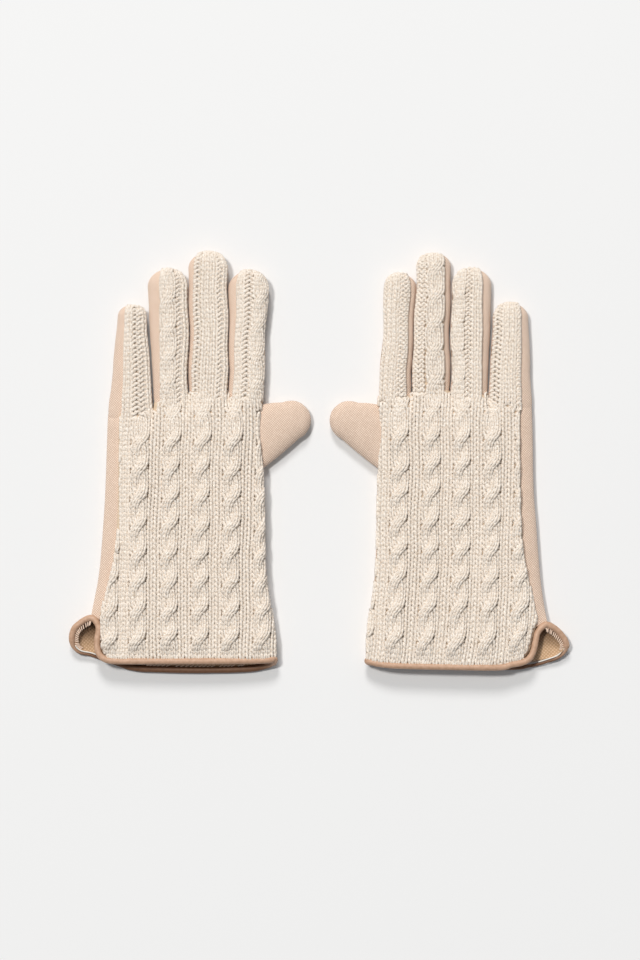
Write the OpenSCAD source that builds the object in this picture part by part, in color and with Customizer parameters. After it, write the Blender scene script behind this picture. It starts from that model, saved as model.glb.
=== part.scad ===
// A pair of long-fingered gloves lying flat, backs up, thumbs inwards.
// Each glove is a cable-knit back, a jersey palm with side strips and thumb, a lining and a bound cuff
// with a side vent. Every digit folds about a line at its root.
// Millimetres. +Z up, fingertips towards +Y, the origin on the table under the middle of the pair.

/* [Pair] */
// Distance from the middle of the pair to the centre line of each glove
glove_offset = 75.35; // [74:0.05:95]
// Distance from the middle of the pair back to the hems
hem_back = 121; // [115:0.5:127]

/* [Layers] */
// Thickness of the cable-knit backs
knit_t = 2.6; // [2:0.1:3.2]
// Thickness of the jersey in the palms, sides and thumbs
jersey_t = 1.2; // [0.8:0.1:1.4]
// Thickness of the lining
lining_t = 0.8; // [0.5:0.1:1]
// Air left between the lining and the outer layers
lining_gap = 0.15; // [0.1:0.05:0.3]

/* [Heights] */
// Height of the underside of the knit at its edges
edge_h = 9; // [8.5:0.1:10]
// How much higher the middle of the back of the hand is
hand_arch = 2; // [1:0.2:3]
// How much higher the middle of a finger is
finger_arch = 1; // [0.4:0.1:1.6]
// Height of the thumb
thumb_h = 9.6; // [9.2:0.1:10]

/* [Folds] */
// Gap between a digit and the hand along its fold line
fold_gap = 0.5; // [0.4:0.1:0.8]

/* [Cuff] */
// Radius of the rolled binding round the cuff
binding_r = 1.7; // [1.4:0.1:1.9]
// Stitches that show inside the palm half of the binding
stitch_count = 16; // [8:1:24]
// Radius of the thread
thread_r = 0.35; // [0.25:0.05:0.45]

/* [Hidden] */
DIGITS = ["index", "middle", "ring", "little"];
SIDES = ["left", "right"];
FINGER_PARTS = ["knit", "front", "side_strips", "lining"];
THUMB_PARTS = ["thumb_top", "thumb_under", "thumb_lining"];
HAND_PARTS = ["knit_back", "palm", "outer_side", "inner_side", "hand_lining", "cuff_binding", "hem_thread"];

cream = [0.90, 0.85, 0.78];
peach = [0.88, 0.72, 0.60];
tan = [0.76, 0.58, 0.45];
gold = [0.80, 0.64, 0.45];
white = [0.93, 0.90, 0.85];

straight_steps = 6;
dome_angles = [0, 25, 48, 68, 82];
across_steps = 5;
hand_steps = 12;
wall_steps = 3;
lining_drop = lining_gap + lining_t;

// Each glove is drawn with its thumb towards +X. The right one is mirrored when it is placed.
// A finger: outer edge and thumb-side edge at the root, the same at the tip, y of the tip,
// and how much of its outer side is jersey at the root and at the tip.
fingers = [
    [
        [24.2, 43.6, 24.8, 46.8, 231, 2.6, 5],
        [1.8, 23.0, 1.2, 23.6, 241.5, 1.8, 3],
        [-18.2, 0.8, -22.0, 0.2, 231.5, 3.6, 7],
        [-46, -19.4, -41.0, -23.2, 211, 8.2, 4.6]
    ],
    [
        [22.4, 41.8, 20.0, 38.6, 230, 3.0, 3.6],
        [0.4, 21.2, -0.6, 18.8, 242, 3.0, 3.6],
        [-21.2, -0.8, -23.8, -1.8, 233, 3.4, 5.6],
        [-47.4, -22.4, -45.4, -25.0, 213, 6.4, 4.6]
    ]
];

// Fold lines of the fingers, as x and y, stepping between one finger and the next
root_line = [
    [
        [-48, 146], [-32, 146], [-18.84, 146], [-18.76, 153], [-8, 153], [1.26, 153], [1.34, 157.5],
        [12, 157.5], [23.56, 157.5], [23.64, 156], [34, 156], [46, 156]
    ],
    [
        [-48.4, 152], [-34, 152], [-21.84, 152], [-21.76, 157], [-11, 157], [-0.24, 157], [-0.16, 159.5],
        [10, 159.5], [21.76, 159.5], [21.84, 156.5], [32, 156.5], [46, 156.5]
    ]
];

// Edges of the hand, as x at each y: the thumb side, the outer side, and where the knit ends
// on the outer side
inner_edge = [
    [
        [0, 51.2], [16, 51.6], [35, 49], [46, 46.8], [63, 45.4],
        [98, 45], [114, 44.4], [117, 43], [154, 43], [160, 43.6]
    ],
    [
        [0, 48.6], [24, 48.3], [35, 46.6], [47, 44.9], [64, 43.7],
        [98, 43], [114, 42.6], [117, 42], [154, 42], [160, 41.8]
    ]
];
outer_edge = [
    [
        [34, -54.5], [41, -53.6], [52, -51.6], [64, -50.4],
        [87, -48.8], [104, -47.7], [139, -46.6], [158, -46]
    ],
    [
        [28, -56.2], [35, -55.4], [52, -52.9], [70, -51.2],
        [87, -50.2], [104, -48.9], [139, -48.3], [158, -47.4]
    ]
];
knit_edge = [
    [
        [8, -44.5], [14, -47.2], [24, -47.8], [36, -48.2], [52, -43.7],
        [64, -41.4], [87, -39], [104, -38.5], [158, -37.8]
    ],
    [
        [8, -36], [14, -42], [24, -47.6], [35, -47.4], [52, -44.9],
        [70, -41.8], [87, -40.6], [139, -39.8], [158, -41]
    ]
];

// Centre line of the binding, as x, y and z: out along the hem of the back from the thumb side,
// up the vent, down round the flap of the palm and back along the hem of the palm
binding_line = [
    [
        [51, 7.4, 9.4], [44, 6.4, 10.6], [16, 5.6, 12], [-21, 6, 12], [-42, 6.6, 10.8],
        [-47.6, 9.6, 10.4], [-49.8, 15, 9.8], [-50.4, 23, 8.8], [-51.8, 30, 7.2],
        [-54.6, 33, 5], [-59.6, 30, 2.8], [-64, 26, 1.9], [-66.8, 20, 1.75], [-66.2, 13, 1.75],
        [-62.6, 8.6, 1.75], [-56, 6, 1.75], [-46, 4, 1.75], [-34, 2.4, 1.75], [-22, 1.75, 1.75],
        [34, 1.75, 1.75], [44, 2.6, 2], [50.4, 5, 4.4]
    ],
    [
        [48, 7.6, 9.4], [42, 6.4, 10.6], [16, 4.6, 12], [-12, 4.2, 12], [-30, 5.4, 11.4],
        [-39.6, 8.6, 10.8], [-46, 13.4, 10.2], [-49.8, 19, 9], [-52, 25, 7.2],
        [-55.6, 27.2, 5], [-60.4, 25, 2.8], [-64.4, 20.6, 1.9], [-66.6, 15, 1.75], [-65, 10.4, 1.75],
        [-59.6, 7.4, 1.75], [-50, 4.8, 1.75], [-38, 2.8, 1.75], [-24, 1.75, 1.75], [30, 1.75, 1.75],
        [41, 2.6, 2], [47.4, 5, 4.4]
    ]
];
// The binding's points from here on belong to the palm
flap_from = [9, 9];

thumb_root_y = [117.5, 153.5];
thumb_centre = [60.6, 144.6];
thumb_half = 10.4;
thumb_turn = 25;
vent_y = [36, 30];

function mix(a, b, t) = a + (b - a) * t;
function steps(n) = [for (i = [0:n]) i / n];

// y of the fold line at x for glove g
function root_y(g, x) = lookup(x, root_line[g]);

// A finger's plan: u runs from -1 on the outer side to 1 on the thumb side, k counts stations,
// d is an inset
function finger_stations() = straight_steps + len(dome_angles);
function finger_half(f, t, d) = mix(f[1] - f[0], f[3] - f[2], t) / 2 - d;
function finger_mid(f, t) = mix(f[1] + f[0], f[3] + f[2], t) / 2;
function dome_start(f) = f[4] - (f[3] - f[2]) / 2;
function finger_dome(k) = k < straight_steps ? 0 : dome_angles[k - straight_steps];
function finger_t(k) = k < straight_steps ? k / straight_steps : 1;
function finger_point(g, f, k, u, d) =
    let (
        t = finger_t(k),
        a = finger_dome(k),
        x = finger_mid(f, t) + u * finger_half(f, t, d) * cos(a),
        y0 = root_y(g, finger_mid(f, 0)) + fold_gap / 2,
        y = k < straight_steps ? mix(y0, dome_start(f), t) : dome_start(f) + finger_half(f, 1, d) * sin(a)
    ) [x, y];
// Height factor of a digit's top, which comes down round the tip
function tip_drop(k) = 2.6 * (1 - cos(finger_dome(k)));
function knit_u(f, k) = -1 + 2 * mix(f[5], f[6], finger_t(k)) / (2 * finger_half(f, finger_t(k), 0));
function arch(u, rise) = rise * (1 - u * u);

// A closed skin between two grids of points with the same rows and columns
module skin(outer, inner) {
    rows = len(outer);
    cols = len(outer[0]);
    n = rows * cols;
    function at(r, c) = r * cols + c;
    function quad(a, b, c, d) = [[a, b, c], [a, c, d]];
    top = [for (r = [0:rows - 2], c = [0:cols - 2])
        each quad(at(r, c), at(r, c + 1), at(r + 1, c + 1), at(r + 1, c))];
    under = [for (f = top) [f[2] + n, f[1] + n, f[0] + n]];
    first = [for (c = [0:cols - 2]) each quad(at(0, c + 1), at(0, c), at(0, c) + n, at(0, c + 1) + n)];
    last = [for (c = [0:cols - 2])
        each quad(at(rows - 1, c), at(rows - 1, c + 1), at(rows - 1, c + 1) + n, at(rows - 1, c) + n)];
    left = [for (r = [0:rows - 2]) each quad(at(r, 0), at(r + 1, 0), at(r + 1, 0) + n, at(r, 0) + n)];
    right = [for (r = [0:rows - 2])
        each quad(at(r + 1, cols - 1), at(r, cols - 1), at(r, cols - 1) + n, at(r + 1, cols - 1) + n)];
    polyhedron(
        points = concat([for (r = outer) each r], [for (r = inner) each r]),
        faces = [for (f = concat(top, under, first, last, left, right)) [f[2], f[1], f[0]]],
        convexity = 8
    );
}

// Moves every point of a grid straight up or down
function lifted(grid, dz) = [for (row = grid) [for (p = row) [p[0], p[1], p[2] + dz]]];

// A closed tube or ring along points, with flat ends when it is open
module sweep(path, r, sides, closed) {
    n = len(path);
    function before(i) = closed ? (i + n - 1) % n : max(i - 1, 0);
    function after(i) = closed ? (i + 1) % n : min(i + 1, n - 1);
    function ring(i) =
        let (
            ahead = path[after(i)] - path[before(i)],
            t = ahead / norm(ahead),
            side = cross(t, [0, 0, 1]),
            s = side / norm(side),
            up = cross(s, t)
        ) [for (k = [0:sides - 1]) path[i] + r * (s * cos(360 * k / sides) + up * sin(360 * k / sides))];
    loops = closed ? n : n - 1;
    wall = [for (i = [0:loops - 1], k = [0:sides - 1])
        let (a = i * sides, b = ((i + 1) % n) * sides, m = (k + 1) % sides)
        each [[a + k, a + m, b + m], [a + k, b + m, b + k]]];
    caps = closed ? [] : [
        [for (k = [sides - 1:-1:0]) k],
        [for (k = [0:sides - 1]) (n - 1) * sides + k]
    ];
    polyhedron(points = [for (i = [0:n - 1]) each ring(i)], faces = concat(wall, caps), convexity = 8);
}

// A smooth closed curve through a list of points
function curve_at(p, i, t) =
    let (n = len(p), a = p[(i + n - 1) % n], b = p[i], c = p[(i + 1) % n], d = p[(i + 2) % n])
    0.5 * (2 * b + (c - a) * t + (2 * a - 5 * b + 4 * c - d) * t * t + (3 * b - a - 3 * c + d) * t * t * t);

// ---------- fingers ----------

function knit_grid(g, f, z) = [
    for (k = [0:finger_stations() - 1]) [
        for (i = [0:across_steps])
            let (u = mix(knit_u(f, k), 1, i / across_steps), p = finger_point(g, f, k, u, 0))
            [p[0], p[1], z - tip_drop(k) + arch(u, finger_arch)]
    ]
];

module finger_knit(g, f) {
    under = knit_grid(g, f, edge_h);
    color(cream) skin(lifted(under, knit_t), under);
}

// The plan of a finger at inset d, as one loop
function finger_outline(g, f, d) =
    let (n = finger_stations())
    concat(
        [for (k = [0:n - 1]) finger_point(g, f, k, -1, d)],
        [for (k = [n - 1:-1:0]) finger_point(g, f, k, 1, d)],
        [for (i = [across_steps - 1:-1:1]) finger_point(g, f, 0, -1 + 2 * i / across_steps, d)]
    );

module finger_front(g, f) {
    color(peach) linear_extrude(jersey_t) polygon(finger_outline(g, f, 0));
}

// One side strip: from the root round to the middle of the tip. side is -1 on the outer side.
// It leans in to the edge of the knit on the outer side, and stands upright on the thumb side.
function strip_row(g, f, side, h, d) =
    let (
        n = finger_stations(),
        top = h * h,
        edge = function(k) side > 0 ? 1 : mix(-1, knit_u(f, k), top),
        arched = function(k) side < 0 ? arch(knit_u(f, k), finger_arch) : 0,
        z = function(k) mix(jersey_t, edge_h - tip_drop(k) + arched(k), sin(90 * h))
    )
    concat(
        [for (k = [0:n - 1])
            let (
                shape = finger_point(g, f, k, edge(k), 0),
                inset = finger_point(g, f, k, side, 0) - finger_point(g, f, k, side, d)
            )
            [shape[0] - inset[0], shape[1] - inset[1], z(k)]],
        [let (mid = side < 0 ? knit_u(f, n - 1) * top : 0, p = finger_point(g, f, n - 1, 0, d))
            [p[0], p[1], z(n - 1)]]
    );

module finger_strip(g, f, side) {
    outer = [for (h = steps(wall_steps)) strip_row(g, f, side, h, 0)];
    inner = [for (h = steps(wall_steps)) strip_row(g, f, side, h, jersey_t)];
    if (side > 0) skin(outer, inner);
    else skin(inner, outer);
}

module finger_side_strips(g, f) {
    color(peach) {
        finger_strip(g, f, -1);
        finger_strip(g, f, 1);
    }
}

// A closed sock from a list of rings, each ring inside its outer one
module sock(outer, inner) {
    n = len(outer[0]);
    rings = len(outer);
    function at(shell, r, k) = shell * n * rings + r * n + k % n;
    wall = [for (r = [0:rings - 2], k = [0:n - 1])
        each [
            [at(0, r, k), at(0, r + 1, k), at(0, r + 1, k + 1)],
            [at(0, r, k), at(0, r + 1, k + 1), at(0, r, k + 1)]
        ]];
    lined = [for (r = [0:rings - 2], k = [0:n - 1])
        each [
            [at(1, r, k), at(1, r + 1, k + 1), at(1, r + 1, k)],
            [at(1, r, k), at(1, r, k + 1), at(1, r + 1, k + 1)]
        ]];
    rim = [for (k = [0:n - 1])
        each [
            [at(0, 0, k), at(0, 0, k + 1), at(1, 0, k + 1)],
            [at(0, 0, k), at(1, 0, k + 1), at(1, 0, k)]
        ]];
    caps = [[for (k = [n - 1:-1:0]) at(0, rings - 1, k)], [for (k = [0:n - 1]) at(1, rings - 1, k)]];
    polyhedron(
        points = concat([for (r = outer) each r], [for (r = inner) each r]),
        faces = concat(wall, lined, rim, caps),
        convexity = 8
    );
}

// One ring of a finger's lining, d inside the outer faces of the jersey and e more inside the lining itself
function lining_ring(g, f, k, e) =
    let (
        d = jersey_t + lining_gap + e,
        low = jersey_t + lining_gap + e,
        high = edge_h - tip_drop(k) - lining_gap - e,
        lean = knit_u(f, k) + 1,
        shape = [[-0.8, 0], [-0.96, 0.16], [-1 + lean * 0.5, 0.62], [-1 + lean, 0.94], [-0.9 + lean, 1],
            [0.9, 1], [1, 0.85], [1, 0.15], [0.9, 0]]
    )
    [for (s = shape) let (p = finger_point(g, f, k, s[0], d)) [p[0], p[1], mix(low, high, s[1])]];

module finger_lining(g, f) {
    rings = [0:finger_stations() - 1];
    outer = [for (k = rings) lining_ring(g, f, k, 0)];
    inner = [for (k = rings) lining_ring(g, f, k, lining_t)];
    color(gold) sock(outer, inner);
}

// ---------- thumb ----------

function thumb_stations() = 3 + len(dome_angles);
// u runs from -1 on the wrist side to 1 on the finger side
function thumb_point(g, k, u, d) =
    let (
        t = min(k / 3, 1),
        a = k < 3 ? 0 : dome_angles[k - 3],
        y = mix(thumb_root_y[0] + d, thumb_root_y[1] - d, (u + 1) / 2),
        root = [lookup(y, inner_edge[g]) + fold_gap / 2, y],
        along = [cos(thumb_turn), sin(thumb_turn)],
        over = [-sin(thumb_turn), cos(thumb_turn)],
        end = thumb_centre + u * (thumb_half - d) * cos(a) * over + (thumb_half - d) * sin(a) * along
    ) t < 1 ? mix(root, end, t) : end;
function thumb_grid(g, base, rise, d) = [
    for (k = [0:thumb_stations() - 1]) [
        for (u = [for (i = [0:6]) -1 + i / 3])
            let (p = thumb_point(g, k, u, d), a = k < 3 ? 0 : dome_angles[k - 3])
            [p[0], p[1], base + rise * sqrt(max(0, 1 - pow(abs(u), 3))) * (0.45 + 0.55 * cos(a))]
    ]
];

thumb_seam = 0.4 * thumb_h;

module thumb_top(g) {
    color(peach) skin(
        thumb_grid(g, thumb_seam, thumb_h - thumb_seam, 0),
        thumb_grid(g, thumb_seam, thumb_h - thumb_seam - jersey_t, jersey_t)
    );
}

// The wrist-side half of the thumb, a shallow tray with a flat underside
module thumb_under(g) {
    n = thumb_stations();
    function edge(d) = concat(
        [for (k = [0:n - 1]) thumb_point(g, k, -1, d)],
        [for (k = [n - 1:-1:0]) thumb_point(g, k, 1, d)]
    );
    color(peach) difference() {
        linear_extrude(thumb_seam - 0.05) polygon(edge(0));
        translate([0, 0, jersey_t]) linear_extrude(thumb_h) polygon(thumb_hollow(g));
    }
}

// Plan of the space inside the thumb, carried out through the fold line
function thumb_hollow(g) =
    let (n = thumb_stations(), low = thumb_point(g, 0, -1, jersey_t), high = thumb_point(g, 0, 1, jersey_t))
    concat(
        [[low[0] - 2, low[1]]],
        [for (k = [0:n - 1]) thumb_point(g, k, -1, jersey_t)],
        [for (k = [n - 1:-1:0]) thumb_point(g, k, 1, jersey_t)],
        [[high[0] - 2, high[1]]]
    );

module thumb_lining(g) {
    inside = jersey_t + lining_gap;
    function ring(k, e) =
        let (
            low = inside + e,
            rise = (thumb_h - jersey_t - lining_gap - e) - low,
            fall = 0.5 + 0.5 * cos(k < 3 ? 0 : dome_angles[k - 3]),
            shape = [
                [-0.94, 0], [-0.98, 0.3], [-0.75, 0.76], [-0.4, 0.95],
                [0.4, 0.95], [0.75, 0.76], [0.98, 0.3], [0.94, 0]
            ]
        )
        [for (s = shape)
            let (p = thumb_point(g, k, s[0], inside + e))
            [p[0], p[1], low + rise * s[1] * fall]];
    rings = [0:thumb_stations() - 1];
    color(gold) sock([for (k = rings) ring(k, 0)], [for (k = rings) ring(k, lining_t)]);
}

// ---------- hand ----------

// y of the hem of the back at x, where the knit meets the binding
function back_hem(g, x) =
    let (p = binding_line[g], n = 5) lookup(x, [for (i = [n:-1:0]) [p[i][0], p[i][1]]]) + binding_r + 0.1;

// Columns across the back of the hand, from -1 on the outer side to 1 on the thumb side, one at each step
function back_columns(g) =
    let (p = root_line[g], n = len(p), low = lookup(157, knit_edge[g]), high = lookup(157, inner_edge[g]))
    concat([-1], [for (i = [1:n - 2]) 2 * (p[i][0] - low) / (high - low) - 1], [1]);

// The back of the hand at column u and height v, from the hem to the fold lines, d in from its edges
function back_point(g, u, v, d) =
    let (
        y0 = mix(8, 157, v),
        low = lookup(y0, knit_edge[g]),
        high = lookup(y0, inner_edge[g]),
        x = min(max(mix(low, high, (u + 1) / 2), low + d), high - d),
        root_x = mix(lookup(157, knit_edge[g]), lookup(157, inner_edge[g]), (u + 1) / 2),
        y = mix(back_hem(g, x), root_y(g, root_x) - fold_gap / 2, v)
    ) [x, y];
function back_grid(g, z, d) = [
    for (v = steps(hand_steps)) [
        for (u = back_columns(g)) let (p = back_point(g, u, v, d)) [p[0], p[1], z + arch(u, hand_arch)]
    ]
];

module knit_back(g) {
    under = back_grid(g, edge_h, 0);
    color(cream) skin(lifted(under, knit_t), under);
}

// Plan of a layer of the palm inside its binding, d in from the palm's own edges
function palm_outline(g, d) =
    let (
        p = binding_line[g],
        n = len(p),
        inset = binding_r + 0.05 + d / 3,
        flap = [for (i = [flap_from[g] + 1:n - 2])
            let (
                ahead = p[min(i + 1, n - 2)] - p[i - 1],
                t = [ahead[0], ahead[1]] / norm([ahead[0], ahead[1]])
            )
            [p[i][0] - t[1] * inset, p[i][1] + t[0] * inset]],
        line = root_line[g],
        ends = [lookup(140, outer_edge[g]) + d, lookup(155, inner_edge[g]) - d],
        root_x = concat([ends[1]], [for (i = [len(line) - 2:-1:1]) line[i][0]], [ends[0]])
    )
    concat(
        flap,
        [for (y = [14, 24, 35, 46, 63, 98, 114, 117, 154]) [lookup(y, inner_edge[g]) - d, y]],
        [for (x = root_x) [x, root_y(g, x) - fold_gap / 2]],
        [for (y = [125, 104, 87, 64, 52, 41, vent_y[g] + 1]) [lookup(y, outer_edge[g]) + d, y]]
    );

module palm(g) {
    color(peach) linear_extrude(jersey_t) polygon(palm_outline(g, 0));
}

// The side along the little finger's edge, d inside its outer face. It leans in to the knit.
function outer_row(g, h, z, d) = [
    for (t = steps(8))
        let (y = mix(vent_y[g] + 2, root_line[g][0][1] - fold_gap / 2, t))
        [mix(lookup(y, outer_edge[g]), lookup(y, knit_edge[g]), h * h) + d, y, z]
];
module outer_wall(g, z0, z1, d, t) {
    heights = steps(wall_steps);
    skin(
        [for (h = heights) outer_row(g, h, mix(z0, z1, sin(90 * h)), d + t)],
        [for (h = heights) outer_row(g, h, mix(z0, z1, sin(90 * h)), d)]
    );
}

module outer_side(g) {
    color(peach) outer_wall(g, jersey_t, edge_h, 0, jersey_t);
}

// A wall along the thumb side from y0 to y1, d inside its outer face
module inner_wall(g, y, z0, z1, d, t) {
    bends = [for (p = inner_edge[g]) if (p[0] > y[0] && p[0] < y[1]) p[0]];
    function row(z, inset) = [
        for (at = concat([y[0]], bends, [y[1]])) [lookup(at, inner_edge[g]) - inset, at, z]
    ];
    skin([for (z = [z0, z1]) row(z, d)], [for (z = [z0, z1]) row(z, d + t)]);
}

module inner_side(g) {
    color(peach) {
        inner_wall(g, [12, thumb_root_y[0] - 1.6], jersey_t, edge_h - 0.05, 0, jersey_t);
        inner_wall(g, [thumb_root_y[1] + 0.6, 155.6], jersey_t, edge_h - 0.05, 0, jersey_t);
    }
}

// Lining of the hand: a sheet under the knit, a sheet on the palm and a wall on each side
module hand_lining(g) {
    inset = jersey_t + lining_gap;
    roof = back_grid(g, edge_h - lining_gap, inset + 1);
    low = jersey_t + lining_gap;
    wall_low = low + lining_t + 0.05;
    wall_high = edge_h - lining_drop - 0.1;
    color(gold) {
        skin(roof, lifted(roof, -lining_t));
        translate([0, 0, low]) linear_extrude(lining_t) polygon(palm_outline(g, inset + 0.6));
        inner_wall(g, [14, thumb_root_y[0] - 3], wall_low, wall_high, inset, lining_t);
        outer_wall(g, wall_low, wall_high, inset + 0.6, lining_t);
    }
}

function binding_path(g) =
    let (p = binding_line[g], n = len(p)) [for (i = [0:n - 1], t = [0, 0.5]) curve_at(p, i, t)];

module cuff_binding(g) {
    color(tan) sweep(binding_path(g), binding_r, 8, true);
}

// Short stitches over the inner rim of the palm's binding, from the top of the vent along the hem
module hem_thread(g) {
    p = binding_line[g];
    first = flap_from[g] + 1;
    span = 7.4;
    color(white) for (i = [0:stitch_count - 1]) {
        s = first + span * i / (stitch_count - 1);
        at = curve_at(p, floor(s), s - floor(s));
        before = curve_at(p, floor(s), max(s - floor(s) - 0.1, 0));
        after = curve_at(p, floor(s), min(s - floor(s) + 0.1, 1));
        ahead = after - before;
        turn = atan2(ahead[1], ahead[0]);
        translate([at[0], at[1], at[2] + binding_r + thread_r + 0.02]) rotate([0, 0, turn + 60])
            rotate([0, 90, 0]) cylinder(h = 2, r = thread_r, center = true, $fn = 24);
    }
}

// ---------- placing ----------

module place(g) {
    if (g == 0) translate([-glove_offset, -hem_back, 0]) children();
    else translate([glove_offset, -hem_back, 0]) mirror([1, 0, 0]) children();
}

module hand_part(g, part) {
    if (part == "knit_back") knit_back(g);
    if (part == "palm") palm(g);
    if (part == "outer_side") outer_side(g);
    if (part == "inner_side") inner_side(g);
    if (part == "hand_lining") hand_lining(g);
    if (part == "cuff_binding") cuff_binding(g);
    if (part == "hem_thread") hem_thread(g);
    if (part == "thumb_top") thumb_top(g);
    if (part == "thumb_under") thumb_under(g);
    if (part == "thumb_lining") thumb_lining(g);
}

module finger_part(g, f, part) {
    if (part == "knit") finger_knit(g, f);
    if (part == "front") finger_front(g, f);
    if (part == "side_strips") finger_side_strips(g, f);
    if (part == "lining") finger_lining(g, f);
}

for (g = [0, 1]) {
    for (part = concat(HAND_PARTS, THUMB_PARTS)) {
        place(g) hand_part(g, part);
    }
    for (i = [0:3], part = FINGER_PARTS) {
        union() {
            place(g) finger_part(g, fingers[g][i], part);
        }
    }
}
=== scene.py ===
import bmesh
import bpy
import math
import random
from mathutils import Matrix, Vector, noise


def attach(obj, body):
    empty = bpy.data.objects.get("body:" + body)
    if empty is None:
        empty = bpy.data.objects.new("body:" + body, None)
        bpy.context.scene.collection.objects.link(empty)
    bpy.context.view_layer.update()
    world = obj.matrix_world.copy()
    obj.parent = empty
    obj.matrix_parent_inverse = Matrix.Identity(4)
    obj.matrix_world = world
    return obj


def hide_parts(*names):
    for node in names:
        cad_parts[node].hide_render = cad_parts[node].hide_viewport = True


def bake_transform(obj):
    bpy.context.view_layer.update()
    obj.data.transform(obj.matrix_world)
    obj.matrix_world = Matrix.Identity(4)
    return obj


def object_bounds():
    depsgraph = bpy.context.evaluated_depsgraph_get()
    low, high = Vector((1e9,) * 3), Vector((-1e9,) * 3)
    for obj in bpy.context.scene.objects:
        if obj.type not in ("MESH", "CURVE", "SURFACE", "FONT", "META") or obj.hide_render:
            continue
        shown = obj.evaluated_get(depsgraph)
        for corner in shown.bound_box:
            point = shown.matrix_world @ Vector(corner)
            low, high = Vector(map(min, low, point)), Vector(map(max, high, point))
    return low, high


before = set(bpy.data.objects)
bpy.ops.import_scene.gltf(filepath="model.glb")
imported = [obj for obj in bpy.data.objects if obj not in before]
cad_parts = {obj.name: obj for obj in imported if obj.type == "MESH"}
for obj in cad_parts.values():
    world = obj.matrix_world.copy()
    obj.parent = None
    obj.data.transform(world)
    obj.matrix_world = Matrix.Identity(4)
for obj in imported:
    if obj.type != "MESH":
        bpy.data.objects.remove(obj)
cadLow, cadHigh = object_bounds()
mm = 0.001
random.seed(11)

# Both gloves are drawn in millimetres from the middle of their hem, thumb towards +x. flip mirrors
# the right one. knitEdge is where the knit meets the jersey on the little finger's side, outerEdge
# the outline beyond it. Tables of pairs are positions along the glove and the value there.
gloves = {
    "left": {
        "flip": 1,
        "roots": {"little": 146, "ring": 153, "middle": 157.5, "index": 156},
        "gaps": [-18.8, 1.3, 23.6],
        "webs": [149.5, 158.5, 158],
        "innerEdge": [
            (0, 51.3), (16, 51.3), (35, 48.6), (46, 46.6), (63, 45.2), (98, 44.6), (114, 44),
            (128, 42.4), (140, 41.6), (154, 43), (160, 43.7), (170, 44.2)
        ],
        "outerEdge": [
            (0, -53), (30, -54.5), (41, -53), (52, -50.9), (64, -49.4), (87, -47.6), (104, -46.6),
            (139, -45.4), (160, -44.6)
        ],
        "knitEdge": [
            (8, -45), (14, -48.4), (20, -49), (33, -48.9), (37.5, -48.3), (42, -46.9), (52, -44),
            (64, -41.4), (87, -39), (104, -38.5), (139, -38.2), (160, -37.6)
        ],
        "flapEdge": [
            (2, -32), (5.6, -44), (7.8, -50), (9.8, -56), (11.4, -61.4), (14.4, -64.6), (19.5, -65.6),
            (25, -64.2), (29, -60), (31.6, -55.4), (36, -54)
        ],
        "rim": [(2, 1.8), (8, 2.4), (11.4, 3.8), (19.5, 6.2), (25, 7.4), (31.6, 8.6)],
        "hem": [
            (-66, 12), (-61.5, 11), (-55.5, 9.6), (-50, 7.8), (-44, 5.6), (-38, 3.9), (-32, 2.8),
            (-22, 1.9), (8, 1.4), (34, 1.9), (44, 3.2), (52, 5.6)
        ],
        "backHem": [(-47, 9.4), (-44, 8.2), (-21, 8), (16, 8), (44, 8.3), (52, 9)],
        "vent": 31,
        "cables": [-43.65, -27.65, -9.65, 7.85, 25.35, 43.35],
        "crossing": 67.8,
        "lean": [(0, 0), (60, 0), (160, 2)],
    },
    "right": {
        "flip": -1,
        "roots": {"little": 152, "ring": 157, "middle": 159.5, "index": 156.5},
        "gaps": [-21.8, -0.2, 21.8],
        "webs": [157, 160.5, 159.5],
        "innerEdge": [
            (0, 48.2), (24, 47.2), (35, 45.4), (47, 43.6), (64, 42.3), (98, 41.5), (114, 41),
            (128, 39.8), (140, 39.2), (154, 40.8), (160, 41), (170, 40.8)
        ],
        "outerEdge": [
            (0, -52), (28, -55.6), (35, -54.8), (52, -52.4), (70, -50.8), (87, -49.6), (104, -48.3),
            (139, -47.7), (160, -47)
        ],
        "knitEdge": [
            (8, -41.5), (13, -45.2), (19, -46.6), (24.6, -48.2), (28.5, -50), (34, -49.2), (47, -46.6),
            (52, -44.9), (70, -41.8), (87, -40.6), (139, -39.8), (160, -40.6)
        ],
        "flapEdge": [
            (2, -36), (3.4, -46), (4.8, -51.6), (6.4, -57.2), (8.3, -62.3), (11.1, -65.6), (14.5, -67),
            (18.4, -66.2), (22.9, -62.8), (26.6, -58.3), (30, -55.6)
        ],
        "rim": [(2, 1.8), (6, 2.4), (9, 3.8), (14.5, 5.8), (20, 7), (27.7, 8.6)],
        "hem": [
            (-66, 10.6), (-62.3, 8), (-57.2, 6.2), (-51.6, 4.6), (-45.9, 3.3), (-40, 2.8), (-24, 3.2),
            (4, 3.4), (30, 3.8), (41, 4.8), (50, 6.6)
        ],
        "backHem": [
            (-46, 13.2), (-44, 10.8), (-42, 9), (-37.5, 7), (-32, 5.9), (-26, 5), (-18, 4.6), (16, 4.6),
            (42, 6.4), (49, 7.8)
        ],
        "vent": 27,
        "cables": [-40.8, -23.2, -5.8, 11.7, 29.6, 46.5],
        "crossing": 69.8,
        "lean": [(0, 5), (30, 1.6), (70, 0), (160, -1.5)],
    },
}

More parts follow.
